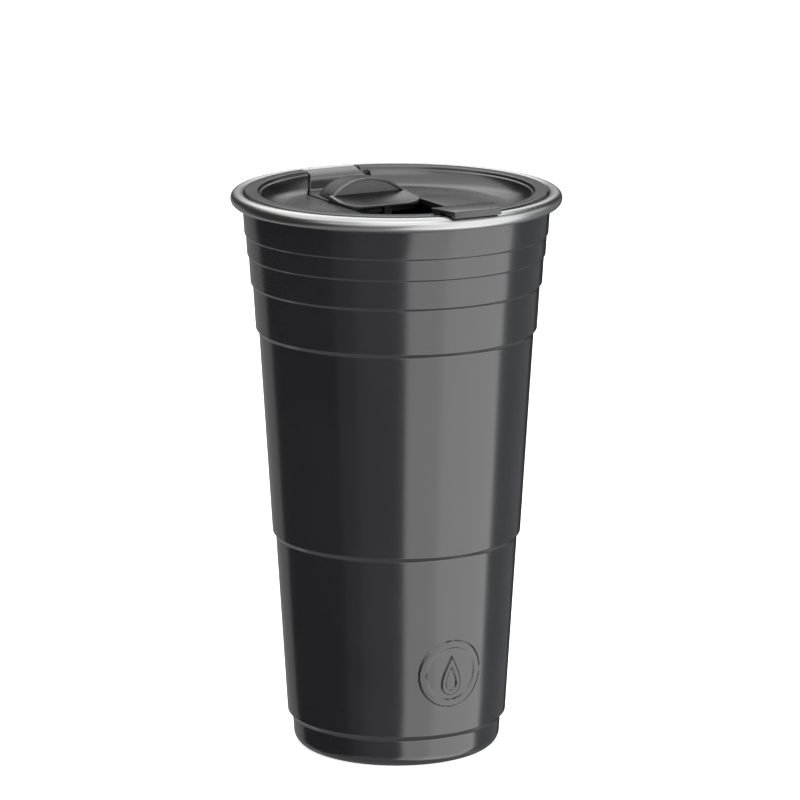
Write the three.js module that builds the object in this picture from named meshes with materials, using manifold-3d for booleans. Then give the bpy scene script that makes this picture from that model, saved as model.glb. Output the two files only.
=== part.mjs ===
// A vacuum-insulated steel drinking tumbler with a press-in lid and a sliding drink closure.
// Millimetres, +Z up. The origin is the centre of the foot ring, on the surface the cup stands on.
// The front (-Y) carries the lid's lift tab; the drinking spout faces the back (+Y).
import * as THREE from "three";
import { mergeVertices } from "three/addons/utils/BufferGeometryUtils.js";
import Module from "manifold-3d";

const wasm = await Module();
wasm.setup();

// ---- driving dimensions ----
const RIM_RADIUS = 52; // outside of the rolled steel rim
const BEAD = 2.3; // radius of the rim's round section
const BEAD_R = RIM_RADIUS - BEAD; // radius of the circle that the bead's centre runs on
const RIM_Z = 176.75; // height of the bead's centre
const SHEET = 0.7; // steel sheet thickness
const GAP = 0.3; // gap between pieces that touch
const SEGMENTS = 48; // facets round a full turn

// Outer shell: straight tapered bands, each ending in a short step inwards.
const TAPER = 0.061; // radius lost per millimetre of height, going down
const SHELL_TOP_R = 48.26;
const SHELL_TOP_Z = RIM_Z - 2.5;
const STEPS = [ // top of the step, how far it steps in, and its height
  { z: 165.85, inwards: 0.47, height: 0.6 },
  { z: 159.15, inwards: 0.5, height: 0.6 },
  { z: 150.05, inwards: 0.73, height: 0.9 },
  { z: 135.45, inwards: 1.02, height: 1.35 },
  { z: 69.85, inwards: 1.03, height: 1.5 },
  { z: 11, inwards: 1.6, height: 1.8 },
];
const FOOT_CORNER = 4.4; // radius of the rounded lower edge
const FOOT_FLAT_IN = 27.2; // inner edge of the flat ring that the cup stands on
const FOOT_LIP_Z = 3.2; // top of the shell's turned-up inner lip

// Inner liner.
const LINER_NECK_R = 45.4; // inside radius at the foot of the lid seat
const LINER_NECK_Z = RIM_Z - 13;
const LINER_TOP_R = 41.9; // inside radius where the long taper starts
const LINER_TOP_Z = RIM_Z - 19;
const LINER_END_R = 30.97; // inside radius at the weld to the bottom
const LINER_END_Z = 12;
const LINER_FLOOR_Z = 7.6;

// Lid: heights are measured from the rim bead's centre.
const LID_TOP = 2.4;
const LID_R = 47.55;
const LIP_R = 43.5; // inner edge of the flat flange
const BOWL_FLOOR_R = 36;
const BOWL_WALL = 6.78; // radius of the bowl's concave wall
const BOWL_FLOOR = -3.5;
const LID_SHEET = 1.6;
const SKIRT_IN_R = 42.9;
const SKIRT_END = -12.5;
const GROOVE_TOP = -5.8;
const GROOVE_END = -9.6;

// Slot in the bowl for the slider, and the spout that its tail plugs.
const SLOT_HALF = 14.4;
const SLOT_FRONT = -24;
const SLOT_BACK = 33;
const SPOUT_HALF = 9.4;
const SPOUT_Y = 41;

// Lift tab.
const TAB_FRONT = 52.3;
const TAB_UNDER = 2.05;
const TAB_TOP = 4.3;

// Tray under the slot.
const TRAY_WALL = 1.2;
const TRAY_HALF = 17.5;
const TRAY_FRONT = -28;
const TRAY_BACK = 36;
const TRAY_FLOOR = -9;
const TRAY_SHEET = 1.4;

// Slider.
const SLIDER_HALF = 13.9;
const SLIDER_FRONT = 5; // y of its front edge when closed
const SLIDER_CORNER = 8;
const PLATE_UNDER = -4.3;
const GRIP_FACE_Y = 18; // foot of the face that a thumb pushes
const GRIP_BACK_Y = 30.5;
const GRIP_TOP = 3.1;
const GRIP_EDGE_Z = -2.7; // height of the arch's two ends
const GRIP_LEAN = 0.14; // how far its faces lean back for each millimetre of height
const GRIP_TAPER = 0.19; // share of its width that it loses towards the back
const GRIP_FALL = 1; // how much lower its back is than its front
const FULL_RISE = GRIP_TOP - GRIP_EDGE_Z;

// ---- helpers ----

// A merged, position-only geometry as a manifold-3d solid.
function toSolid(geometry) {
  const bare = new THREE.BufferGeometry();
  bare.setAttribute("position", geometry.getAttribute("position"));
  if (geometry.index) bare.setIndex(geometry.index);
  const merged = mergeVertices(bare, 1e-4);
  return new wasm.Manifold(
    new wasm.Mesh({
      numProp: 3,
      vertProperties: merged.attributes.position.array,
      triVerts: new Uint32Array(merged.index.array),
    }),
  );
}

// A manifold-3d solid as a geometry.
function toGeometry(solid) {
  const mesh = solid.getMesh();
  const geometry = new THREE.BufferGeometry();
  geometry.setAttribute("position", new THREE.BufferAttribute(mesh.vertProperties, 3));
  geometry.setIndex(new THREE.BufferAttribute(mesh.triVerts, 1));
  geometry.computeVertexNormals();
  return geometry;
}

// A solid of revolution about Z. The [radius, height] outline runs counter-clockwise and closes on itself.
function turned(outline, segments = SEGMENTS) {
  const closed = [...outline, outline[0]];
  const points = closed.map(([r, z]) => new THREE.Vector2(r, z));
  const geometry = new THREE.LatheGeometry(points, segments);
  geometry.rotateX(Math.PI / 2);
  return geometry;
}

// A prism over an outline in X and Y, from one height to another.
function upright(outline, low, high) {
  const shape = new THREE.Shape(outline.map(([x, y]) => new THREE.Vector2(x, y)));
  const geometry = new THREE.ExtrudeGeometry(shape, { depth: high - low, bevelEnabled: false });
  geometry.translate(0, 0, low);
  return geometry;
}

// A prism over an outline in Y and Z, reaching half of its width to each side of the YZ plane.
function across(outline, half) {
  const shape = new THREE.Shape(outline.map(([y, z]) => new THREE.Vector2(y, z)));
  const geometry = new THREE.ExtrudeGeometry(shape, { depth: 2 * half, bevelEnabled: false });
  geometry.translate(0, 0, -half);
  geometry.rotateY(Math.PI / 2);
  geometry.rotateX(Math.PI / 2);
  return geometry;
}

function block(x0, x1, y0, y1, z0, z1) {
  const geometry = new THREE.BoxGeometry(x1 - x0, y1 - y0, z1 - z0);
  return geometry.translate((x0 + x1) / 2, (y0 + y1) / 2, (z0 + z1) / 2);
}

// Points on an arc, from one angle to another in degrees.
function arc(cx, cy, radius, from, to, count) {
  return Array.from({ length: count + 1 }, (_, i) => {
    const a = ((from + ((to - from) * i) / count) * Math.PI) / 180;
    return [cx + radius * Math.cos(a), cy + radius * Math.sin(a)];
  });
}

// A rectangle with round corners.
function roundedBox(x0, x1, y0, y1, radius, count = 4) {
  return [
    ...arc(x1 - radius, y0 + radius, radius, -90, 0, count),
    ...arc(x1 - radius, y1 - radius, radius, 0, 90, count),
    ...arc(x0 + radius, y1 - radius, radius, 90, 180, count),
    ...arc(x0 + radius, y0 + radius, radius, 180, 270, count),
  ];
}

function mesh(name, geometry, color, roughness, metalness, z = 0) {
  const material = new THREE.MeshStandardMaterial({ color, roughness, metalness });
  const made = new THREE.Mesh(geometry, material);
  made.name = name;
  made.position.z = z;
  return made;
}

// ---- cup ----

// The shell's outside from the rim down to the foot's corner, as [radius, height].
function shellOutside() {
  const points = [[SHELL_TOP_R, SHELL_TOP_Z]];
  let r = SHELL_TOP_R;
  let z = SHELL_TOP_Z;
  for (const step of STEPS) {
    r -= (z - step.z) * TAPER;
    points.push([r, step.z]);
    r -= step.inwards;
    z = step.z - step.height;
    points.push([r, z]);
  }
  points.push([r - (z - FOOT_CORNER) * TAPER, FOOT_CORNER]);
  return points;
}

function outerShell() {
  const outside = shellOutside();
  const footR = outside[outside.length - 1][0];
  const centre = footR - FOOT_CORNER;
  const lipR = FOOT_FLAT_IN - 0.4;
  const outline = [
    [lipR, FOOT_LIP_Z],
    [lipR, 0.4],
    [FOOT_FLAT_IN, 0],
    ...arc(centre, FOOT_CORNER, FOOT_CORNER, -90, 0, 5),
    ...outside.slice(0, -1).reverse(),
    ...outside.slice(0, -1).map(([r, z]) => [r - SHEET - 0.1, z]),
    ...arc(centre, FOOT_CORNER, FOOT_CORNER - SHEET, 0, -90, 4),
    [lipR + SHEET, SHEET],
    [lipR + SHEET, FOOT_LIP_Z],
  ];
  return turned(outline);
}

function innerLiner() {
  const bead = (radius, from, to, count) => arc(BEAD_R, RIM_Z, radius, from, to, count);
  const outline = [
    [LINER_END_R, LINER_END_Z],
    [LINER_END_R + SHEET, LINER_END_Z],
    [LINER_TOP_R + SHEET, LINER_TOP_Z - 0.3],
    [LINER_NECK_R + SHEET, LINER_NECK_Z - 0.3],
    [47.0, RIM_Z - 3],
    [47.35, RIM_Z - 1.8],
    ...bead(BEAD - SHEET, 180, -120, 6),
    ...bead(BEAD, -120, 180, 10),
    [46.65, RIM_Z - 1.6],
    [46.3, RIM_Z - 3],
    [LINER_NECK_R, LINER_NECK_Z],
    [LINER_TOP_R, LINER_TOP_Z],
  ];
  return turned(outline);
}

function linerBottom() {
  const corner = 4.5;
  const centre = LINER_END_R - corner;
  const z = LINER_FLOOR_Z + corner;
  const outline = [
    [0, LINER_FLOOR_Z + 0.3],
    [12, LINER_FLOOR_Z],
    ...arc(centre, z, corner + SHEET, -90, -5, 5),
    ...arc(centre, z, corner, -5, -90, 5),
    [12, LINER_FLOOR_Z + SHEET],
    [0, LINER_FLOOR_Z + SHEET + 0.3],
  ];
  return turned(outline);
}

// Disc that closes the vacuum space, pressed up round the hole that the air is drawn out of.
function outerBase() {
  const rim = FOOT_FLAT_IN - 0.4 - GAP;
  return turned([
    [1.5, 3.6],
    [5, 3.6],
    [7, 2.4],
    [rim - SHEET, 2.4],
    [rim - SHEET, 1.6],
    [rim, 1.6],
    [rim, 3.1],
    [7.2, 3.1],
    [5.2, 4.3],
    [1.5, 4.3],
  ]);
}

function vacuumSeal() {
  return turned([[0, 2.5], [2.6, 2.6], [3.8, 3], [3.8, 3.3], [0, 3.3]], 24);
}

function baseCover() {
  return turned([
    [0, 0.8],
    [25.3, 0.8],
    [25.9, 0.5],
    [26.4, 0.5],
    [26.4, 1],
    [25.6, 1.3],
    [0, 1.3],
  ]);
}

function getterHolder() {
  return block(6.5, 20.5, -2.5, 2.5, 3.4, 3.8).translate(1.5, 0, 0);
}

function getterPellet() {
  return turned([[0, 4.1], [3.8, 4.1], [4, 4.3], [4, 5.7], [3.8, 5.9], [0, 5.9]], 24).translate(15, 0, 0);
}

// ---- lid (heights from the bead's centre) ----

function lidTurned() {
  return turned([
    [0, BOWL_FLOOR - LID_SHEET],
    [37, BOWL_FLOOR - LID_SHEET],
    [SKIRT_IN_R, -3.6],
    [SKIRT_IN_R, SKIRT_END],
    [44.9, SKIRT_END],
    [45.2, GROOVE_END],
    [44.2, GROOVE_END],
    [44.2, GROOVE_TOP],
    [45.5, GROOVE_TOP],
    [45.8, -1.2],
    [46.6, 0.3],
    [47.4, 1.3],
    [LID_R, 2.1],
    [LID_R - 0.3, LID_TOP],
    [LIP_R, LID_TOP],
    [LIP_R - 0.4, LID_TOP - 0.2],
    [LIP_R - 0.7, LID_TOP - 0.9],
    ...arc(BOWL_FLOOR_R, BOWL_FLOOR + BOWL_WALL, BOWL_WALL, -16.5, -90, 6),
    [0, BOWL_FLOOR],
  ]);
}

// The lid's surface under the slider's tail, as [y, height], from the slot up and over the flange.
const SPOUT_RAMP = [[37.2, -5.3], [37.7, -4.5], [40.1, -2.4], [41.8, -0.4], [43.9, 0.95], [50, 1.1]];

// What is cut away for the slider: the slot, and the spout that narrows towards the rim.
function sliderCut() {
  const plan = upright(
    [
      [-SLOT_HALF, SLOT_FRONT],
      [SLOT_HALF, SLOT_FRONT],
      [SLOT_HALF, SLOT_BACK],
      [SPOUT_HALF, SPOUT_Y],
      [SPOUT_HALF, 50],
      [-SPOUT_HALF, 50],
      [-SPOUT_HALF, SPOUT_Y],
      [-SLOT_HALF, SLOT_BACK],
    ],
    -8,
    8,
  );
  const side = across([[-40, -7], [36, -7], ...SPOUT_RAMP, [50, 7], [-40, 7]], 20);
  return toSolid(plan).intersect(toSolid(side));
}

// Raised tab on the flange that hooks over the steel rim, for lifting the lid off.
function liftTab() {
  const side = across(
    [
      [-TAB_FRONT, TAB_UNDER],
      [-51.4, TAB_UNDER],
      [-51, 2.65],
      [-48.2, 2.65],
      [-47.8, 3.3],
      [-46, 3.3],
      [-45.6, 2],
      [-43.6, 2],
      [-42, TAB_TOP],
      [0.4 - TAB_FRONT, TAB_TOP],
      [-TAB_FRONT, TAB_TOP - 0.4],
    ],
    20,
  );
  const plan = upright([[-8.2, -TAB_FRONT], [8.2, -TAB_FRONT], [11.2, -41], [-11.2, -41]], 0, 6);
  return toSolid(side).intersect(toSolid(plan));
}

function lidBody() {
  return toGeometry(toSolid(lidTurned()).add(liftTab()).subtract(sliderCut()));
}

// Tray welded under the bowl: it carries the drink hole and closes the slot from below.
function spoutTray() {
  const top = BOWL_FLOOR - LID_SHEET - GAP;
  const plan = roundedBox(-TRAY_HALF, TRAY_HALF, TRAY_FRONT, TRAY_BACK, 3);
  const outer = upright(plan, TRAY_FLOOR - TRAY_SHEET, top);
  const inside = upright(
    roundedBox(
      TRAY_WALL - TRAY_HALF,
      TRAY_HALF - TRAY_WALL,
      TRAY_FRONT + TRAY_WALL,
      TRAY_BACK - TRAY_WALL,
      2,
    ),
    TRAY_FLOOR,
    top + 1,
  );
  const drinkHole = upright(roundedBox(-8, 8, 22.5, 31, 3), TRAY_FLOOR - 4, TRAY_FLOOR + 1);
  const vent = upright(arc(0, -20, 1.2, 0, 330, 11), TRAY_FLOOR - 4, TRAY_FLOOR + 1);
  return toGeometry(
    toSolid(outer).subtract(toSolid(inside)).subtract(toSolid(drinkHole)).subtract(toSolid(vent)),
  );
}

// Silicone ring in the skirt's groove, with two lips that press on the liner.
function lidGasket() {
  return turned([
    [44.5, GROOVE_END + GAP],
    [45.3, GROOVE_END + GAP],
    [45.45, GROOVE_END + 0.7],
    [44.9, GROOVE_END + 1.5],
    [44.9, GROOVE_TOP - 1.6],
    [45.65, GROOVE_TOP - 0.9],
    [45.4, GROOVE_TOP - GAP],
    [44.5, GROOVE_TOP - GAP],
  ]);
}

// ---- slider (heights from the bead's centre) ----

const TAIL_END = 45.2;
const TAIL_HALF = SPOUT_HALF - 0.35;
const TAIL_TOP = [[37.4, -3.3], [37.9, -2.6], [39.3, 0.4], [40.3, 1.1], [42, 1.6], [TAIL_END, 2.4]];
const TAIL_UNDER = [[TAIL_END, 1.45], [43.9, 1.4], [41.3, 0.1], [39.4, -2], [37.2, -3.9], [34.6, -4.3]];

function sliderPlan() {
  const front = SLIDER_FRONT + SLIDER_CORNER;
  return upright(
    [
      ...arc(SLIDER_CORNER - SLIDER_HALF, front, SLIDER_CORNER, 180, 270, 6),
      ...arc(SLIDER_HALF - SLIDER_CORNER, front, SLIDER_CORNER, -90, 0, 6),
      [SLIDER_HALF, SLOT_BACK],
      [TAIL_HALF, SPOUT_Y],
      [TAIL_HALF, 47],
      [-TAIL_HALF, 47],
      [-TAIL_HALF, SPOUT_Y],
      [-SLIDER_HALF, SLOT_BACK],
    ],
    -9,
    8,
  );
}

// Plate, sloping thumb rest and tail, seen from the side.
function sliderBlank() {
  const side = across(
    [
      [SLIDER_FRONT, -3.2],
      [SLIDER_FRONT + 0.8, PLATE_UNDER],
      ...[...TAIL_UNDER].reverse(),
      ...[...TAIL_TOP].reverse(),
      [GRIP_FACE_Y + 1.5, -3.3],
      [GRIP_FACE_Y + 1.3, -1.6],
      [10, -3.05],
    ],
    20,
  );
  return toSolid(side).intersect(toSolid(sliderPlan()));
}

// Arched grip that narrows towards the back, its thumb face set back inside a thin rim.
function gripArch(inset, near, far) {
  const half = SLIDER_HALF - 0.07 - inset;
  const top = GRIP_TOP - inset;
  const rise = top - GRIP_EDGE_Z;
  const radius = (half ** 2 + rise ** 2) / (2 * rise);
  const reach = (Math.asin(half / radius) * 180) / Math.PI;
  const outline = [
    [half, -3.9],
    ...arc(0, top - radius, radius, 90 - reach, 90 + reach, 16),
    [-half, -3.9],
  ];
  const shape = new THREE.Shape(outline.map(([x, z]) => new THREE.Vector2(x, z)));
  const geometry = new THREE.ExtrudeGeometry(shape, { depth: far - near, bevelEnabled: false });
  geometry.rotateX(Math.PI / 2);
  geometry.translate(0, far, 0);
  const position = geometry.getAttribute("position");
  for (let i = 0; i < position.count; i++) {
    const share = (position.getY(i) - GRIP_FACE_Y) / (GRIP_BACK_Y - GRIP_FACE_Y);
    const height = position.getZ(i) - GRIP_EDGE_Z;
    position.setX(i, position.getX(i) * (1 - GRIP_TAPER * share));
    position.setY(i, position.getY(i) + height * GRIP_LEAN);
    if (height > 0.01) position.setZ(i, position.getZ(i) - (GRIP_FALL * share * height) / FULL_RISE);
  }
  return toSolid(geometry);
}

function grip() {
  const outer = gripArch(0, GRIP_FACE_Y, GRIP_BACK_Y);
  const recess = gripArch(0.8, GRIP_FACE_Y - 2, GRIP_FACE_Y + 0.75);
  return outer.subtract(recess);
}

function slider() {
  const rib = toSolid(block(-1.45, 1.45, SLIDER_FRONT + 0.4, SLIDER_FRONT + 2.4, -8.4, -3.6));
  return toGeometry(grip().add(sliderBlank()).add(rib));
}

// T-shaped carrier: its wings run under the edges of the slot and hold the slider down.
function sliderCarrier() {
  const boss = block(-13.4, 13.4, 15, 32, -6, PLATE_UNDER - GAP);
  const wings = upright(roundedBox(-15.8, 15.8, 14, 33.6, 2, 3), -7.3, -5.5);
  return toGeometry(toSolid(boss).add(toSolid(wings)));
}

function sliderSeal() {
  const pad = upright(roundedBox(-11.5, 11.5, 19.8, 33, 3.5), -8.4, -7.6);
  const lip = upright(roundedBox(-11.5, 11.5, 19.8, 33, 3.5), -8.75, -8);
  const inside = upright(roundedBox(-10, 10, 21.3, 31.6, 2.5), -9, -8.4);
  return toGeometry(toSolid(pad).add(toSolid(lip).subtract(toSolid(inside))));
}

// ---- assembly ----

const CHARCOAL = 0x2b2c30;
const STEEL = 0xc9cbca;
const SMOKE = 0x26272a;

const cup = new THREE.Group();
cup.add(
  mesh("outer_shell", outerShell(), CHARCOAL, 0.35, 0.4),
  mesh("inner_liner", innerLiner(), STEEL, 0.3, 1),
  mesh("liner_bottom", linerBottom(), STEEL, 0.3, 1),
  mesh("outer_base", outerBase(), STEEL, 0.35, 1),
  mesh("vacuum_seal", vacuumSeal(), 0x8f9498, 0.2, 0),
  mesh("base_cover", baseCover(), STEEL, 0.35, 1),
  mesh("getter_holder", getterHolder(), STEEL, 0.4, 1),
  mesh("getter_pellet", getterPellet(), 0x3a3a3c, 0.9, 0.2),
);

const lid = new THREE.Group();
lid.position.z = RIM_Z;
lid.add(
  mesh("lid_body", lidBody(), SMOKE, 0.35, 0),
  mesh("spout_tray", spoutTray(), SMOKE, 0.4, 0),
  mesh("lid_gasket", lidGasket(), 0x1a1a1b, 0.7, 0),
  mesh("slider", slider(), SMOKE, 0.35, 0),
  mesh("slider_carrier", sliderCarrier(), SMOKE, 0.45, 0),
  mesh("slider_seal", sliderSeal(), 0x1a1a1b, 0.7, 0),
);

const tumbler = new THREE.Group();
tumbler.add(cup, lid);
export default tumbler;
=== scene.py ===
# An insulated drinking tumbler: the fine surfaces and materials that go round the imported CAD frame.
# Outlines are in millimetres, [radius, height] or [x, y], and turn into metres as each mesh is made.
import math
import bpy
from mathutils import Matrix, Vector
from mathutils.geometry import delaunay_2d_cdt

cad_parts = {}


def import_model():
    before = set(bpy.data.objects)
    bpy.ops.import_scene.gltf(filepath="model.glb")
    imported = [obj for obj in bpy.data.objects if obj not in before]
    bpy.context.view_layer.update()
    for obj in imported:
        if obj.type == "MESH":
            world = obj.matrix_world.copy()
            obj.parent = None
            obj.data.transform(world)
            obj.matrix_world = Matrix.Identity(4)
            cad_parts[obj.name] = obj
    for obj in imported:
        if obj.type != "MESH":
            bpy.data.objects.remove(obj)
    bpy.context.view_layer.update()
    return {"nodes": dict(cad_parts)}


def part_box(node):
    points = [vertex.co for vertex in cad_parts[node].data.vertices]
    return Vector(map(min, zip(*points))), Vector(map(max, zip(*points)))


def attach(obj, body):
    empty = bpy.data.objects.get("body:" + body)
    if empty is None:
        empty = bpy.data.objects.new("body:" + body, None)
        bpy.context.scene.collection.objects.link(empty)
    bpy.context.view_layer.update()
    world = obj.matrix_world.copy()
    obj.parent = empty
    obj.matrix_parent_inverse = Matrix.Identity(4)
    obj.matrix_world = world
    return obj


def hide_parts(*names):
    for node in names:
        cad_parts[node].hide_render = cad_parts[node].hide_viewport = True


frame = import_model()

MM = 0.001
FACETS = 192  # columns round a full turn
FRONT = 1.5 * math.pi  # the angle of the tumbler's front, -Y

# ---- sizes from the frame, in millimetres ----
RIM_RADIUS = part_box("inner_liner")[1].x / MM
BEAD = 2.3  # radius of the rolled rim's round section
BEAD_R = RIM_RADIUS - BEAD
RIM_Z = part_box("inner_liner")[1].z / MM - BEAD  # height of the bead's centre
SHELL_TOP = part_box("outer_shell")[1].z / MM

# ---- outer shell ----
TAPER = 0.061
SHELL_TOP_R = 48.2
STEPS = [  # top of the step, how far it steps in, its height
    (165.85, 0.47, 0.6),
    (159.15, 0.5, 0.6),
    (150.05, 0.73, 0.9),
    (135.45, 1.02, 1.35),
    (69.85, 1.03, 1.5),
    (11, 1.6, 1.8),
]
FOOT_CORNER = 4.4
FOOT_FLAT_IN = 27.2  # inner edge of the flat ring that the cup stands on
FOOT_LIP_Z = 3.2  # top of the turned-up inner lip
STEP_TOP_CURVE = 0.15  # reach of the curve at a step's upper corner
STEP_LOW_CURVE = 0.2  # and at its lower one, as a share of the step's height
SHEET = 0.7

# ---- embossed mark: a drop in a ring ----
MARK_Z = 30.95
MARK_REACH = 12.2  # half the side of the square that is meshed finely
MARK_GRID = 0.3
MARK_COLUMNS = 84
MARK_SHELL_R = 36  # the shell's radius there
MARK_HEIGHT = 0.45
MARK_SLOPE = 0.6  # width of its sloping edges
MARK_RING_R = 9.6
MARK_RING_HALF = 1.15  # half the ring's width
MARK_LINE_HALF = 0.75  # half the width of the drop's outline

# ---- inner liner ----
LINER_END_R = 30.97  # inside radius at the weld to the bottom
LINER_END_Z = 12
LINER_TOP_R = 41.9  # inside radius where the long taper starts
LINER_NECK_R = 45.4  # inside radius at the foot of the lid's seat
LINER_CORNER = 4.5  # inside radius of the rounded corner at the bottom

# ---- lid, heights from the bead's centre ----
FLANGE_Z = 2.42
FLANGE_R = 47.5
BOWL_R = 42.4
BOWL_TOP = 1.2
FLOOR_R = 35.0
FLOOR_Z = -3.4
FLOOR_UNDER = -5.05
SLOT_HALF = 14.4
SLOT_FRONT = -24.0
SLOT_BACK = 33.0
SPOUT_HALF = 9.4
SPOUT_Y = 41.0
RAMP_START = 37.25
POCKET = (9.9, 12.2, 39.6, 41.3)  # small recess beside the spout: its two x and its two y
POCKET_DEPTH = 1.6

# ---- tray under the slot ----
TRAY_HALF = 17.5
TRAY_FRONT = -28
TRAY_BACK = 36
TRAY_WALL = 1.2

# ---- lift tab ----
TAB_FRONT = 52.3
TAB_HALF = 8.15  # half its width at the front
TAB_FLARE = 0.26  # how fast its half width grows inwards
TAB_UNDER = 2.05
TAB_TOP = 4.12

# ---- slider ----
SLIDER_HALF = 13.85
SLIDER_FRONT = 5.02
SLIDER_CORNER = 8
PLATE_START = 4.9  # y just in front of the plate, where its profile begins
PLATE_UNDER = -4.3
PLATE_STEP = 19.35  # y where the plate's top drops, hidden under the grip
TAIL_HALF = SPOUT_HALF - 0.35
TAIL_END = 45.1
GRIP_FACE = 18  # y of the face that a thumb pushes
GRIP_BACK = 31.2
GRIP_HALF = 13.78
GRIP_TAPER = 0.19  # share of its half width that it loses towards the back
GRIP_TOP = 3.1
GRIP_FALL = 1.1
GRIP_EDGE_Z = -2.7  # height of the arch's two ends
GRIP_BASE = -3.9
GRIP_LEAN = 0.14  # how far its faces lean back for each millimetre of height

# ---- textures ----
NOISE_LOW = 0.3  # a noise's values lie mostly between these two
NOISE_HIGH = 0.7
BRUSH_LINES = 9000  # brushing lines for each metre
BRUSH_TURN = 3.0  # how often a line changes on its way round

# ---- camera ----
VIEW_SIDE = math.radians(28.4)  # how far the camera stands to the left of the front
CAMERA_LENS = 214.7
CAMERA_AWAY = 1.471  # metres from the axis, level
CAMERA_HEIGHT = 0.44035
TARGET_HEIGHT = 0.11155
TARGET_ASIDE = 0.00113


# ---- mesh helpers ----

def finish_mesh(name, points, faces, crease=32):
    """A smooth-shaded mesh object from points in millimetres."""
    data = bpy.data.meshes.new(name)
    data.from_pydata([Vector(p) * MM for p in points], [], faces)
    data.validate()
    data.shade_smooth()
    data.set_sharp_from_angle(angle=math.radians(crease))
    piece = bpy.data.objects.new(name, data)
    bpy.context.scene.collection.objects.link(piece)
    return piece


def arc(cx, cy, radius, start, end, count):
    """Points on an arc, its angles in degrees."""
    steps = [math.radians(start + (end - start) * i / count) for i in range(count + 1)]
    return [(cx + radius * math.cos(a), cy + radius * math.sin(a)) for a in steps]


def rounded(outline, count=4):
    """A closed outline with rounded corners. A point is (x, y) or (x, y, reach), where reach is how far
    from the corner the curve begins and ends."""
    made = []
    for i, point in enumerate(outline):
        corner = Vector(point[:2])
        if len(point) < 3:
            made.append(tuple(corner))
            continue
        start = corner + (Vector(outline[i - 1][:2]) - corner).normalized() * point[2]
        end = corner + (Vector(outline[(i + 1) % len(outline)][:2]) - corner).normalized() * point[2]
        for k in range(count + 1):
            t = k / count
            made.append(tuple(start * (1 - t) ** 2 + corner * 2 * t * (1 - t) + end * t * t))
    return made


def even_angles(count=FACETS):
    return [2 * math.pi * i / count for i in range(count)]


def turned(name, outline, angles=None, shift=None):
    """A solid of revolution about Z from a closed [radius, height] outline, counter-clockwise.
    shift, if given, moves a point outwards: shift(angle, radius, height)."""
    angles = angles or even_angles()
    points = []
    rows = []
    for r, z in outline:
        if r < 1e-6:
            rows.append([len(points)] * len(angles))
            points.append((0, 0, z))
            continue
        rows.append(list(range(len(points), len(points) + len(angles))))
        for a in angles:
            out = r + (shift(a, r, z) if shift else 0)
            points.append((out * math.cos(a), out * math.sin(a), z))
    faces = []
    for k in range(len(rows)):
        low, high = rows[k], rows[(k + 1) % len(rows)]
        for i in range(len(angles)):
            j = (i + 1) % len(angles)
            face = list(dict.fromkeys([low[i], low[j], high[j], high[i]]))
            if len(face) > 2:
                faces.append(face)
    return finish_mesh(name, points, faces)


def interpolate(table, x):
    """The height at x on a polyline of (x, height) points."""
    if x <= table[0][0]:
        return table[0][1]
    for (x0, z0), (x1, z1) in zip(table, table[1:]):
        if x <= x1:
            return z0 + (z1 - z0) * (x - x0) / max(x1 - x0, 1e-9)
    return table[-1][1]


def edge_distance(outline, x, y):
    """How far (x, y) is outside a closed outline, negative inside."""
    nearest = 1e9
    inside = False
    for (x0, y0), (x1, y1) in zip(outline, outline[1:] + outline[:1]):
        dx, dy = x1 - x0, y1 - y0
        t = min(1, max(0, ((x - x0) * dx + (y - y0) * dy) / (dx * dx + dy * dy)))
        nearest = min(nearest, math.hypot(x - x0 - t * dx, y - y0 - t * dy))
        if (y0 > y) != (y1 > y) and x < x0 + (y - y0) * dx / dy:
            inside = not inside
    return -nearest if inside else nearest


def grown(outline, distance):
    """A counter-clockwise outline moved outwards by a distance, corners mitred."""
    made = []
    for i, here in enumerate(outline):
        here = Vector(here)
        back = (here - Vector(outline[i - 1])).normalized()
        ahead = (Vector(outline[(i + 1) % len(outline)]) - here).normalized()
        normal = (Vector((back.y, -back.x)) + Vector((ahead.y, -ahead.x))).normalized()
        made.append(tuple(here + normal * distance / max(0.5, normal.dot(Vector((ahead.y, -ahead.x))))))
    return made


def dense(outline, step):
    """The same closed outline with extra points, none more than step apart."""
    made = []
    for (x0, y0), (x1, y1) in zip(outline, outline[1:] + outline[:1]):
        count = max(1, math.ceil(math.hypot(x1 - x0, y1 - y0) / step))
        made += [(x0 + (x1 - x0) * i / count, y0 + (y1 - y0) * i / count) for i in range(count)]
    return made


def plate(name, loops, keep, top, under):
    """A closed solid over a plan. loops are closed outlines, or lines of two points, that the mesh
    follows, keep(x, y) says where there is material, and top(x, y) and under(x, y) give its heights."""
    points = []
    edges = []
    for loop in loops:
        first = len(points)
        points += [Vector(p) for p in loop]
        edges += [(first + i, first + (i + 1) % len(loop)) for i in range(len(loop))]
    plan, _, triangles, *_ = delaunay_2d_cdt(points, edges, [], 0, 1e-5)
    kept = []
    for t in triangles:
        centre = sum((plan[i] for i in t), Vector((0, 0))) / len(t)
        if keep(centre.x, centre.y):
            kept.append(tuple(t))
    used = sorted({i for t in kept for i in t})
    place = {v: n for n, v in enumerate(used)}
    count = len(used)
    made = [(plan[v].x, plan[v].y, top(plan[v].x, plan[v].y)) for v in used]
    made += [(plan[v].x, plan[v].y, under(plan[v].x, plan[v].y)) for v in used]
    faces = []
    sides = {}  # the directed edges that no neighbour has cancelled, which are the plan's border
    for t in kept:
        t = [place[i] for i in t]
        faces.append(t)
        faces.append([i + count for i in reversed(t)])
        for a, b in zip(t, t[1:] + t[:1]):
            if (b, a) in sides:
                del sides[(b, a)]
            else:
                sides[(a, b)] = True
    faces += [[b, a, a + count, b + count] for a, b in sides]
    return finish_mesh(name, made, faces)


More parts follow.
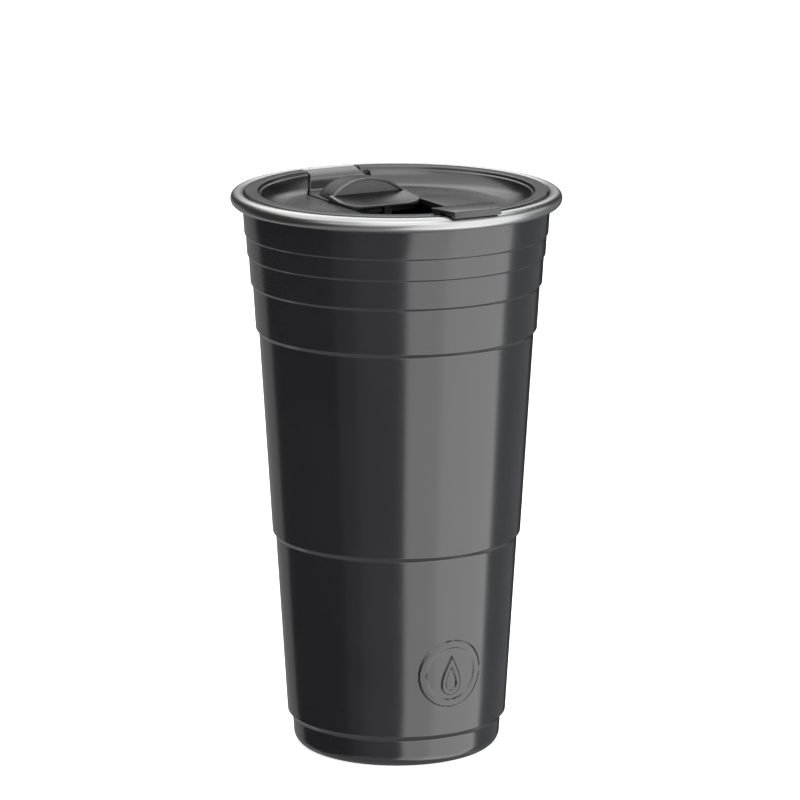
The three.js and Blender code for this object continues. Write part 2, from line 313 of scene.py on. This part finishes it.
def loft(name, sections):
    """A closed solid skinned over closed sections that all have the same number of points."""
    points = [p for section in sections for p in section]
    n = len(sections[0])
    faces = []
    for k in range(len(sections) - 1):
        low, high = k * n, (k + 1) * n
        faces += [[low + i, low + (i + 1) % n, high + (i + 1) % n, high + i] for i in range(n)]
    faces.append(list(range(n))[::-1])
    faces.append(list(range(len(points) - n, len(points))))
    return finish_mesh(name, points, faces, 40)


# ---- cup ----

def shell_outside():
    """The shell's outside from the top edge down, with its rounded steps."""
    r, z = SHELL_TOP_R, SHELL_TOP
    points = []
    for top, inwards, height in STEPS:
        r -= (z - top) * TAPER
        points.append((r, top, STEP_TOP_CURVE))
        r -= inwards
        z = top - height
        points.append((r, z, STEP_LOW_CURVE * height))
    points.append((r - (z - FOOT_CORNER) * TAPER, FOOT_CORNER))
    return points


def drop_outline():
    """A teardrop, point up, a little below the mark's centre."""
    width, height, lower = 4.625, 6.4, 0.6
    return [
        (-width * math.sin(a) * math.sin(a / 2) ** 1.5, height * math.cos(a) - lower)
        for a in even_angles(40)
    ]


MARK_DROP = drop_outline()


def mark_height(across, up):
    """The height of the embossed mark, a drop in a ring, over the shell's surface."""
    solid = abs(math.hypot(across, up) - MARK_RING_R) - MARK_RING_HALF
    if abs(across) < 5 and abs(up) < 8:
        drop = edge_distance(MARK_DROP, across, up)
        solid = min(solid, abs(drop + MARK_LINE_HALF) - MARK_LINE_HALF)
    t = min(1, max(0, 0.5 - solid / MARK_SLOPE))
    return MARK_HEIGHT * t * t * (3 - 2 * t)


def emboss(angle, radius, height):
    """How far the shell stands out at a point, on its front."""
    off = (angle - FRONT) * radius
    up = height - MARK_Z
    if abs(off) > MARK_REACH or abs(up) > MARK_REACH:
        return 0
    return mark_height(off, up)


def outer_shell():
    """The pressed shell, its wall SHEET thick, finely meshed where the mark is."""
    outside = shell_outside()
    corner = outside[-1][0] - FOOT_CORNER
    lip = FOOT_FLAT_IN - 0.4
    up = outside[:-1][::-1]
    rows = [MARK_Z - MARK_REACH + MARK_GRID * i for i in range(int(2 * MARK_REACH / MARK_GRID) + 1)]
    low, high = up[1], up[2]
    band = [(interpolate([(low[1], low[0]), (high[1], high[0])], z), z) for z in rows]
    outer = up[:2] + band + up[2:]
    outline = rounded([
        (lip, FOOT_LIP_Z, 0.2),
        (lip, 0.5),
        (FOOT_FLAT_IN, 0, 0.2),
        (corner - 0.3, 0),
        *arc(corner, FOOT_CORNER, FOOT_CORNER, -90, 0, 10),
        *outer,
        (SHELL_TOP_R, SHELL_TOP, 0.25),
        (SHELL_TOP_R - SHEET, SHELL_TOP, 0.25),
        *[(r - SHEET, z) for r, z, _ in up[::-1]],
        *arc(corner, FOOT_CORNER, FOOT_CORNER - SHEET, 0, -90, 6),
        (lip + SHEET, SHEET),
        (lip + SHEET, FOOT_LIP_Z, 0.2),
    ])
    reach = MARK_REACH / MARK_SHELL_R
    fine = [FRONT + reach * (2 * i / MARK_COLUMNS - 1) for i in range(MARK_COLUMNS + 1)]
    coarse = [a for a in even_angles() if abs(a - FRONT) > reach + 0.01]
    return turned("shell_skin", outline, sorted(coarse + fine), emboss)


def inner_liner():
    """The steel cup and its rolled rim, curled outwards over the shell's top edge."""
    bead = [*arc(BEAD_R, RIM_Z, BEAD - SHEET, 180, -125, 24), *arc(BEAD_R, RIM_Z, BEAD, -125, 180, 48)]
    return turned("liner_skin", rounded([
        (LINER_END_R, LINER_END_Z),
        (LINER_END_R + SHEET, LINER_END_Z),
        (LINER_TOP_R + SHEET, RIM_Z - 19.3, 2.5),
        (LINER_NECK_R + SHEET, RIM_Z - 13.3, 2.5),
        (47.0, RIM_Z - 3, 1),
        *bead,
        (46.3, RIM_Z - 3, 1),
        (LINER_NECK_R, RIM_Z - 13, 2.5),
        (LINER_TOP_R, RIM_Z - 19, 2.5),
    ]))


def liner_bottom():
    """The dished disc that closes the liner, turned up into its wall."""
    centre = (LINER_END_R - LINER_CORNER, LINER_END_Z + 0.1)
    return turned("liner_bottom_skin", [
        (0, 7.9),
        (12, 7.6),
        *arc(*centre, LINER_CORNER + SHEET, -90, -3, 12),
        *arc(*centre, LINER_CORNER, -3, -90, 12),
        (12, 8.3),
        (0, 8.6),
    ])


def base_cover():
    """The thin disc under the foot, with a bead round its edge."""
    return turned("base_cover_skin", rounded([
        (0, 0.8),
        (24.9, 0.8, 0.5),
        (25.9, 0.5, 0.3),
        (26.4, 0.5, 0.2),
        (26.4, 1, 0.2),
        (25.6, 1.3, 0.3),
        (0, 1.3),
    ]))


# ---- lid ----

def above(points):
    """Heights given from the bead's centre, as heights from the ground."""
    return [(r, z + RIM_Z) for r, z in points]


def bowl_profile():
    """The lid's upper surface, from the axis out to the flange's edge."""
    across = BOWL_R - FLOOR_R
    rise = BOWL_TOP - FLOOR_Z
    radius = (across ** 2 + rise ** 2) / (2 * rise)
    end = math.degrees(math.asin(across / radius))
    wall = arc(FLOOR_R, FLOOR_Z + radius, radius, -90, end - 90, 14)
    lip = [(42.75, 1.34), (43.0, 1.5), (43.15, 1.85), (43.3, 2.2), (43.5, 2.36), (43.8, FLANGE_Z)]
    rim = [(47.05, FLANGE_Z), (47.3, FLANGE_Z - 0.08), (FLANGE_R, FLANGE_Z - 0.32)]
    return above([(0, FLOOR_Z), *wall, *lip, *rim])


def lid_underside():
    """The lid's lower surface, from the axis over the skirt to the flange's edge."""
    return above([
        (0, FLOOR_UNDER),
        (36.8, FLOOR_UNDER),
        (42.2, -3.9),
        (42.85, -4.2),
        (42.95, -12.2),
        (43.2, -12.5),
        (44.6, -12.5),
        (44.85, -12.2),
        (45.2, -9.6),
        (45.5, -5.8),
        (45.8, -1.2),
        (46.6, 0.3),
        (47.3, 1.2),
        (FLANGE_R, 1.5),
    ])


def circle(radius, count=FACETS, centre=(0, 0)):
    return [(centre[0] + radius * math.cos(a), centre[1] + radius * math.sin(a)) for a in even_angles(count)]


def box_outline(half, front, back, reach):
    """A rounded rectangle, mirrored about the Y axis."""
    corners = [(-half, front), (half, front), (half, back), (-half, back)]
    return rounded([(x, y, reach) for x, y in corners])


def mirrored(right):
    """A closed outline from its right half."""
    return right + [(-x, *rest) for x, *rest in right[::-1]]


def slot_outline():
    """The opening that the slider fills: a slot that narrows into the spout and runs out over the flange."""
    right = [
        (SLOT_HALF, SLOT_FRONT, 1.5),
        (SLOT_HALF, SLOT_BACK, 1.5),
        (SPOUT_HALF, SPOUT_Y, 1),
        (SPOUT_HALF, 52),
    ]
    return rounded(mirrored(right))


def edge_drop(distance, radius):
    """How far a rounded edge has fallen at this distance from it."""
    if distance >= radius:
        return 0
    return radius - math.sqrt(radius ** 2 - (radius - max(0, distance)) ** 2)


def lid_body():
    """The lid with its bowl, slot, spout ramp and pocket."""
    ramp = above([(RAMP_START, -4.95), (37.7, -4.5), (40.1, -2.4), (41.8, -0.4), (43.9, 0.95), (50, 1.1)])
    profile = bowl_profile()
    underside = lid_underside()
    slot = dense(slot_outline(), 1.2)
    left, right, near, far = POCKET
    recess = [(left, near), (right, near), (right, far), (left, far)]
    edge = 0.15

    def top(x, y):
        off = edge_distance(slot, x, y)
        if off < -0.02:
            return interpolate(ramp, y)
        pocket = POCKET_DEPTH if edge_distance(recess, x, y) < -0.01 else 0
        return interpolate(profile, math.hypot(x, y)) - edge_drop(off, edge) - pocket

    def under(x, y):
        return interpolate(underside, math.hypot(x, y))

    def keep(x, y):
        if math.hypot(x, y) > FLANGE_R:
            return False
        return y > RAMP_START or edge_distance(slot, x, y) > 0

    radii = sorted({r for r, _ in profile + underside if r > 1} | {10, 20, 28, 45})
    rings = [circle(r) for r in radii]
    edges = [slot] + [grown(slot, d) for d in (-0.05, 0.03, 0.08, edge)]
    rows = [[(-12, y), (12, y)] for y in (RAMP_START, 38.5, 39.7, 40.9, 42, 43, 44)]
    walls = [recess, grown(recess, -0.08)]
    return plate("lid_skin", rings + edges + rows + walls, keep, top, under)


def lift_tab():
    """The tab that hooks over the rim, narrower outwards, its edges eased."""
    side = rounded([
        (-TAB_FRONT, TAB_UNDER, 0.2),
        (-51.4, TAB_UNDER, 0.15),
        (-51.0, 2.65, 0.2),
        (-48.3, 2.65, 0.2),
        (-47.8, 3.3, 0.3),
        (-46.1, 3.3, 0.4),
        (-45.5, 1.9),
        (-43.6, 1.9),
        (-42.0, TAB_TOP, 0.25),
        (-TAB_FRONT, TAB_TOP, 0.4),
    ], 3)
    middle = Vector((-47.2, 3.2))
    sections = []
    caps = [(0, 0.045), (0.06, 0.013), (0.2, 0)]  # how far in from the end, and the share it shrinks by
    ends = [(-1, *cap) for cap in caps] + [(1, *cap) for cap in caps[::-1]]
    for sign, back, shrink in ends:
        points = []
        for y, z in side:
            half = TAB_HALF + (y + TAB_FRONT) * TAB_FLARE - back
            y, z = middle + (Vector((y, z)) - middle) * (1 - shrink)
            points.append((sign * half, y, RIM_Z + z))
        sections.append(points)
    return loft("lift_tab_skin", sections)


def spout_tray():
    """The tray welded under the bowl, with the drink hole and the vent in its floor."""
    outer = dense(box_outline(TRAY_HALF, TRAY_FRONT, TRAY_BACK, 3), 4)
    inner_ends = (TRAY_FRONT + TRAY_WALL, TRAY_BACK - TRAY_WALL)
    inner = dense(box_outline(TRAY_HALF - TRAY_WALL, *inner_ends, 2), 4)
    hole = rounded([(-8, 22.5, 3), (8, 22.5, 3), (8, 31, 3), (-8, 31, 3)])
    vent = circle(1.2, 24, (0, -20))
    floor, wall, bottom = (RIM_Z + z for z in (-9, -5.4, -10.4))

    def keep(x, y):
        return edge_distance(hole, x, y) > 0 and edge_distance(vent, x, y) > 0

    def top(x, y):
        off = edge_distance(inner, x, y)
        return wall if off > 0.02 else floor + edge_drop(-off, 0.6)

    loops = [outer, hole, vent] + [grown(inner, d) for d in (0.05, 0, -0.15, -0.35, -0.6)]
    return plate("tray_skin", loops, keep, top, lambda x, y: bottom)


def lid_gasket():
    """The silicone ring round the lid's skirt, with two sealing lips."""
    low, high = RIM_Z - 9.3, RIM_Z - 6.1
    return turned("gasket_skin", rounded([
        (44.6, low),
        (45.3, low, 0.1),
        (45.45, low + 0.4, 0.15),
        (44.95, low + 1.2, 0.3),
        (44.95, high - 1.3, 0.3),
        (45.65, high - 0.6, 0.15),
        (45.4, high, 0.1),
        (44.6, high),
    ]))


# ---- slider ----

def slider_outline():
    """The plate's plan: round corners in front, a narrow tail behind."""
    right = [
        (SLIDER_HALF, SLIDER_FRONT, SLIDER_CORNER),
        (SLIDER_HALF, SLOT_BACK, 1.5),
        (TAIL_HALF, SPOUT_Y, 1),
        (TAIL_HALF, TAIL_END, 0.7),
    ]
    return rounded(mirrored(right), 8)


def slider_plate():
    """The slider's plate, dished in front of the grip, and the tail that rises over the flange."""
    profile = above(rounded([
        (PLATE_START, -3.15),
        (12, -2.5, 4),
        (PLATE_STEP - 0.05, -1.6),
        (PLATE_STEP + 0.05, -3.1),
        (37.4, -3.1, 0.7),
        (39.9, 1.25, 2.4),
        (TAIL_END, 2.45),
        (TAIL_END, -9),
        (PLATE_START, -9),
    ], 7))[:-2]  # without the two points that only close it
    underside = above([
        (PLATE_START, -3.8),
        (6, PLATE_UNDER),
        (34.6, PLATE_UNDER),
        (37.2, -3.9),
        (39.4, -2),
        (41.3, 0.1),
        (43.9, 1.4),
        (TAIL_END, 1.45),
    ])
    outline = dense(slider_outline(), 1)
    edge = 0.25
    side_edge = 0.7  # the plate's sides beside the grip's face are rounder

    def top(x, y):
        off = -edge_distance(outline, x, y)
        dish = 0.25 * max(0, 1 - (x / 13) ** 2) * max(0, 1 - ((y - 12) / 7) ** 2)
        drop = edge_drop(off, edge)
        if y < PLATE_STEP:
            drop = max(drop, edge_drop(off, side_edge) * min(1, max(0, (y - 10) / 8)))
        return interpolate(profile, y) - dish - drop

    def under(x, y):
        return interpolate(underside, y)

    def keep(x, y):
        return edge_distance(outline, x, y) < 0

    loops = [outline] + [grown(outline, -d) for d in (0.04, 0.11, edge, 0.45, side_edge)]
    heights = sorted({round(y, 2) for y, _ in profile + underside} | {7, 9, 11, 13, 15, 17, 28})
    rows = [[(-20, y), (20, y)] for y in heights if y > SLIDER_FRONT]
    ribs = [[(x, 0), (x, 50)] for x in (-12, -9, -6, -3, 0, 3, 6, 9, 12)]
    return plate("slider_skin", loops + rows + ribs, keep, top, under)


def grip_section(y, half, top):
    """A low arch across the slider, its ends at GRIP_EDGE_Z, closed along its base."""
    rise = top - GRIP_EDGE_Z
    radius = (half ** 2 + rise ** 2) / (2 * rise)
    reach = math.degrees(math.asin(half / radius))
    curve = arc(0, top - radius, radius, 90 + reach, 90 - reach, 40)
    outline = [(-half, GRIP_BASE), *curve, (half, GRIP_BASE)]
    return [(x, y + (z - GRIP_EDGE_Z) * GRIP_LEAN, RIM_Z + z) for x, z in outline]


def slider_grip():
    """The arched grip: a flat face to push, set back inside a thin raised rim."""
    length = GRIP_BACK - GRIP_FACE
    front = [(0.75, 0.8), (0.12, 0.72), (0, 0.6), (0, 0.4), (0.06, 0.15), (0.25, 0)]
    middle = [(length * k / 8, 0) for k in range(1, 8)]
    back = [(length - 0.5, 0.08), (length - 0.15, 0.25), (length, 0.6)]
    sections = []
    for along, inset in front + middle + back:
        share = along / length
        half = GRIP_HALF * (1 - GRIP_TAPER * share) - inset
        sections.append(grip_section(GRIP_FACE + along, half, GRIP_TOP - GRIP_FALL * share - inset))
    return loft("slider_grip_skin", sections)


def slider_post():
    """The rib that stands under the middle of the plate's front edge."""
    outline = box_outline(1.4, SLIDER_FRONT + 0.35, SLIDER_FRONT + 2.4, 0.35)
    high, low = RIM_Z - 3.6, RIM_Z - 8.4
    return plate("slider_post_skin", [outline], lambda x, y: True, lambda x, y: high, lambda x, y: low)


# ---- materials ----

class Paint:
    """A material that is being wired: its nodes work on the mesh's own coordinates, in metres."""

    def __init__(self, name, colour, roughness, metallic=0.0):
        self.made = bpy.data.materials.new(name)
        self.made.use_nodes = True
        self.nodes = self.made.node_tree.nodes
        self.shader = self.nodes["Principled BSDF"]
        self.shader.inputs["Base Color"].default_value = (*colour, 1)
        self.shader.inputs["Roughness"].default_value = roughness
        self.shader.inputs["Metallic"].default_value = metallic
        self.place = self.nodes.new("ShaderNodeTexCoord").outputs["Object"]

    def link(self, out, into):
        self.made.node_tree.links.new(out, into)

    def math(self, operation, a, b=None):
        node = self.nodes.new("ShaderNodeMath")
        node.operation = operation
        for socket, value in zip(node.inputs, (a, b)):
            if isinstance(value, (int, float)):
                socket.default_value = value
            elif value is not None:
                self.link(value, socket)
        return node.outputs[0]

    def noise(self, scale, detail, where=None, fourth=None):
        """A noise with so many waves to the metre, on the mesh's own coordinates unless where is given."""
        node = self.nodes.new("ShaderNodeTexNoise")
        node.inputs["Scale"].default_value = scale
        node.inputs["Detail"].default_value = detail
        if fourth is not None:
            node.noise_dimensions = "4D"
            self.link(fourth, node.inputs["W"])
        self.link(where or self.place, node.inputs["Vector"])
        return node.outputs["Fac"]

    def spread(self, value, low, high):
        """Maps a noise to a range."""
        node = self.nodes.new("ShaderNodeMapRange")
        self.link(value, node.inputs["Value"])
        node.inputs["From Min"].default_value = NOISE_LOW
        node.inputs["From Max"].default_value = NOISE_HIGH
        node.inputs["To Min"].default_value = low
        node.inputs["To Max"].default_value = high
        return node.outputs["Result"]

    def ramp(self, value, colours):
        """A colour that follows a noise through evenly spaced colours."""
        node = self.nodes.new("ShaderNodeValToRGB")
        self.link(value, node.inputs["Fac"])
        marks = node.color_ramp.elements
        while len(marks) < len(colours):
            marks.new(0.5)
        for i, colour in enumerate(colours):
            marks[i].position = NOISE_LOW + (NOISE_HIGH - NOISE_LOW) * i / (len(colours) - 1)
            marks[i].color = (*colour, 1)
        return node.outputs["Color"]

    def bump(self, height, distance, strength, below=None):
        """A bump in metres, on top of the one below if there is one."""
        node = self.nodes.new("ShaderNodeBump")
        node.inputs["Distance"].default_value = distance
        node.inputs["Strength"].default_value = strength
        self.link(height, node.inputs["Height"])
        if below:
            self.link(below, node.inputs["Normal"])
        return node.outputs["Normal"]

    def use(self, **sockets):
        """Links outputs to the shader's sockets, base_color for Base Color, and gives the material."""
        for name, out in sockets.items():
            self.link(out, self.shader.inputs[name.replace("_", " ").title()])
        return self.made


def coat_paint():
    """Glossy charcoal powder coat: a faint orange peel, flecks and soft blotches in its tone."""
    paint = Paint("charcoal_coat", (0.0085, 0.0085, 0.0102), 0.18)
    peel = paint.noise(750, 2)
    fleck = paint.noise(5200, 1)
    blotch = paint.noise(38, 3)
    tone = paint.ramp(blotch, [(0.0075, 0.0075, 0.009), (0.0085, 0.0085, 0.0102), (0.0095, 0.0095, 0.0115)])
    rough = paint.math("ADD", paint.spread(fleck, 0.0, 0.05), paint.spread(blotch, 0.14, 0.17))
    normal = paint.bump(fleck, 0.000003, 0.4, paint.bump(peel, 0.00001, 0.5))
    paint.shader.inputs["IOR"].default_value = 2.0
    return paint.use(base_color=tone, roughness=rough, normal=normal)


def steel_paint():
    """Bare steel, finely brushed round the axis."""
    paint = Paint("brushed_steel", (0.53, 0.54, 0.53), 0.28, 1.0)
    split = paint.nodes.new("ShaderNodeSeparateXYZ")
    paint.link(paint.place, split.inputs[0])
    x, y, z = split.outputs
    squares = paint.math("ADD", paint.math("MULTIPLY", x, x), paint.math("MULTIPLY", y, y))
    radius = paint.math("SQRT", squares)
    safe = paint.math("MAXIMUM", radius, 0.0005)
    joined = paint.nodes.new("ShaderNodeCombineXYZ")
    for side, socket in zip((x, y), joined.inputs):
        paint.link(paint.math("MULTIPLY", paint.math("DIVIDE", side, safe), BRUSH_TURN), socket)
    paint.link(paint.math("MULTIPLY", radius, BRUSH_LINES), joined.inputs[2])
    streaks = paint.noise(1.0, 3, joined.outputs[0], paint.math("MULTIPLY", z, BRUSH_LINES))
    cloud = paint.noise(45, 2)
    tone = paint.ramp(streaks, [(0.45, 0.46, 0.45), (0.53, 0.54, 0.53), (0.6, 0.6, 0.59)])
    rough = paint.math("ADD", paint.spread(streaks, 0.0, 0.08), paint.spread(cloud, 0.24, 0.3))
    return paint.use(base_color=tone, roughness=rough, normal=paint.bump(streaks, 0.000006, 0.5))


def plastic_paint():
    """Dark moulded plastic with a fine spark-eroded grain and slight flow marks."""
    paint = Paint("smoke_plastic", (0.009, 0.009, 0.0093), 0.28)
    paint.shader.inputs["IOR"].default_value = 1.9
    grain = paint.noise(6500, 2)
    flow = paint.noise(70, 3)
    tone = paint.ramp(flow, [(0.0075, 0.0075, 0.0077), (0.009, 0.009, 0.0093), (0.0105, 0.0105, 0.0109)])
    rough = paint.math("ADD", paint.spread(grain, 0.0, 0.06), paint.spread(flow, 0.2, 0.27))
    normal = paint.bump(flow, 0.00001, 0.3, paint.bump(grain, 0.000004, 0.6))
    return paint.use(base_color=tone, roughness=rough, normal=normal)


def silicone_paint():
    """Matte black silicone with a dusty surface."""
    paint = Paint("black_silicone", (0.012, 0.012, 0.013), 0.6)
    dust = paint.noise(2600, 3)
    tone = paint.ramp(dust, [(0.009, 0.009, 0.01), (0.013, 0.013, 0.014), (0.02, 0.02, 0.021)])
    rough = paint.spread(dust, 0.52, 0.7)
    return paint.use(base_color=tone, roughness=rough, normal=paint.bump(dust, 0.00001, 0.5))


def solder_paint():
    """Grey solder glass, smooth with small bubbles."""
    paint = Paint("solder_glass", (0.2, 0.21, 0.21), 0.15)
    bubbles = paint.noise(1500, 2)
    tone = paint.ramp(bubbles, [(0.14, 0.15, 0.15), (0.2, 0.21, 0.21), (0.27, 0.28, 0.28)])
    rough = paint.spread(bubbles, 0.1, 0.25)
    return paint.use(base_color=tone, roughness=rough, normal=paint.bump(bubbles, 0.00003, 0.5))


def getter_paint():
    """Pressed metal powder."""
    paint = Paint("getter_powder", (0.05, 0.05, 0.052), 0.8, 0.3)
    grains = paint.noise(3500, 3)
    tone = paint.ramp(grains, [(0.03, 0.03, 0.032), (0.05, 0.05, 0.052), (0.085, 0.085, 0.09)])
    rough = paint.spread(grains, 0.65, 0.9)
    return paint.use(base_color=tone, roughness=rough, normal=paint.bump(grains, 0.00004, 0.8))


# ---- putting the pieces on the frame ----

COAT = coat_paint()
STEEL = steel_paint()
PLASTIC = plastic_paint()
SILICONE = silicone_paint()


def fit(piece, body, slot, material, *nodes):
    """A piece rides on a body, takes a material and stands for CAD nodes. The slot argument is not used."""
    piece.data.materials.append(material)
    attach(piece, body)
    if nodes:
        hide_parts(*nodes)


def repaint(node, material, bevel=0.0):
    """A CAD node that stays: a new material and, if asked, rounded edges."""
    piece = frame["nodes"][node]
    piece.data.materials.clear()
    piece.data.materials.append(material)
    if bevel:
        edge = piece.modifiers.new("edges", "BEVEL")
        edge.width = bevel * MM
        edge.segments = 2
        edge.limit_method = "ANGLE"
        edge.angle_limit = math.radians(50)


fit(outer_shell(), "cup", "shell_coat", COAT, "outer_shell")
fit(inner_liner(), "cup", "bare_steel", STEEL, "inner_liner")
fit(liner_bottom(), "cup", "bare_steel", STEEL, "liner_bottom")
fit(base_cover(), "cup", "bare_steel", STEEL, "base_cover")
fit(lid_body(), "lid", "lid_plastic", PLASTIC, "lid_body")
fit(lift_tab(), "lid", "lid_plastic", PLASTIC)
fit(spout_tray(), "lid", "lid_plastic", PLASTIC, "spout_tray")
fit(lid_gasket(), "lid", "silicone", SILICONE, "lid_gasket")
fit(slider_plate(), "slider", "lid_plastic", PLASTIC, "slider")
fit(slider_grip(), "slider", "lid_plastic", PLASTIC)
fit(slider_post(), "slider", "lid_plastic", PLASTIC)
repaint("outer_base", STEEL)
repaint("getter_holder", STEEL)
repaint("vacuum_seal", solder_paint())
repaint("getter_pellet", getter_paint())
repaint("slider_carrier", PLASTIC, 0.3)
repaint("slider_seal", SILICONE, 0.15)


# ---- floor, lights and camera ----

TO_CAMERA = Vector((-math.sin(VIEW_SIDE), -math.cos(VIEW_SIDE), 0))
TO_RIGHT = Vector((math.cos(VIEW_SIDE), -math.sin(VIEW_SIDE), 0))


def floor():
    """A plain pale floor. It gives no reflection on the tumbler and lets the light under it through."""
    data = bpy.data.meshes.new("floor")
    reach = 6
    corners = [(-reach, -reach, 0), (reach, -reach, 0), (reach, reach, 0), (-reach, reach, 0)]
    data.from_pydata(corners, [], [(0, 1, 2, 3)])
    made = bpy.data.objects.new("floor", data)
    bpy.context.scene.collection.objects.link(made)
    paint = Paint("floor", (0.86, 0.86, 0.86), 0.9)
    paint.shader.inputs["Specular IOR Level"].default_value = 0.1
    paint.shader.inputs["Emission Color"].default_value = (1, 1, 1, 1)
    paint.shader.inputs["Emission Strength"].default_value = 0.85
    data.materials.append(paint.made)
    made.visible_glossy = False
    made.visible_shadow = False


def softbox(name, bearing, distance, height, width, tall, power, colour=(1, 1, 1)):
    """An area light that faces the tumbler: its bearing in degrees to the camera's right, its place and
    size in metres, its power in watts."""
    data = bpy.data.lights.new(name, "AREA")
    data.shape = "RECTANGLE"
    data.size = width
    data.size_y = tall
    data.energy = power
    data.color = colour
    made = bpy.data.objects.new(name, data)
    bpy.context.scene.collection.objects.link(made)
    a = math.radians(bearing)
    place = (TO_CAMERA * math.cos(a) + TO_RIGHT * math.sin(a)) * distance
    made.location = (place.x, place.y, height)
    aim = Vector((0, 0, 0.1)) - Vector(made.location)
    made.rotation_mode = "QUATERNION"
    made.rotation_quaternion = aim.to_track_quat("-Z", "Y")
    made.visible_camera = False


def camera():
    data = bpy.data.cameras.new("camera")
    data.lens = CAMERA_LENS
    data.sensor_width = 36
    data.clip_start = 0.05
    data.clip_end = 50
    made = bpy.data.objects.new("camera", data)
    bpy.context.scene.collection.objects.link(made)
    made.location = TO_CAMERA * CAMERA_AWAY + Vector((0, 0, CAMERA_HEIGHT))
    target = TO_RIGHT * TARGET_ASIDE + Vector((0, 0, TARGET_HEIGHT))
    made.rotation_mode = "QUATERNION"
    made.rotation_quaternion = (target - made.location).to_track_quat("-Z", "Y")
    bpy.context.scene.camera = made


def world():
    """A dim even light from all round."""
    made = bpy.data.worlds.new("studio")
    made.use_nodes = True
    shade = made.node_tree.nodes["Background"].inputs
    shade["Color"].default_value = (1, 1, 1, 1)
    shade["Strength"].default_value = 0.035
    bpy.context.scene.world = made


floor()
world()
softbox("right_panel", 53, 1.15, -0.2, 2.14, 2.8, 23)
softbox("right_edge", 70, 1.14, -0.2, 1.3, 2.8, 3.4)
softbox("right_high", 108, 1.6, 0.5, 1.0, 0.6, 1.2)
softbox("right_fill", 124, 1.6, -0.5, 1.9, 1.8, 2.1, (0.88, 0.92, 1))
softbox("front_wide", -18, 1.3, -0.2, 1.6, 2.4, 0.8)
softbox("front_near", -10, 1.31, -0.2, 1.1, 2.4, 0.55)
softbox("front_high", 6, 2.3, 2.2, 3.0, 2.6, 29)
softbox("front_low", -20, 2.4, 0.75, 3.2, 1.0, 9)
softbox("overhead", -110, 0.45, 2.4, 4.4, 4.4, 76)
softbox("back_high", -176, 2.0, 1.75, 2.3, 1.7, 12)
softbox("back_low", 178, 2.6, 0.75, 1.5, 0.5, 0.7)
softbox("side_high", 98, 0.95, 1.4, 0.5, 0.5, 1.5)
softbox("back_strip", 175, 2.0, 1.43, 1.2, 0.4, 1.6)
softbox("back_left", -150, 1.3, -0.45, 1.0, 1.2, 1.0)
softbox("under", 0, 0.01, -1.2, 2.4, 2.4, 4.2)
camera()
bpy.context.scene.view_settings.view_transform = "Standard"
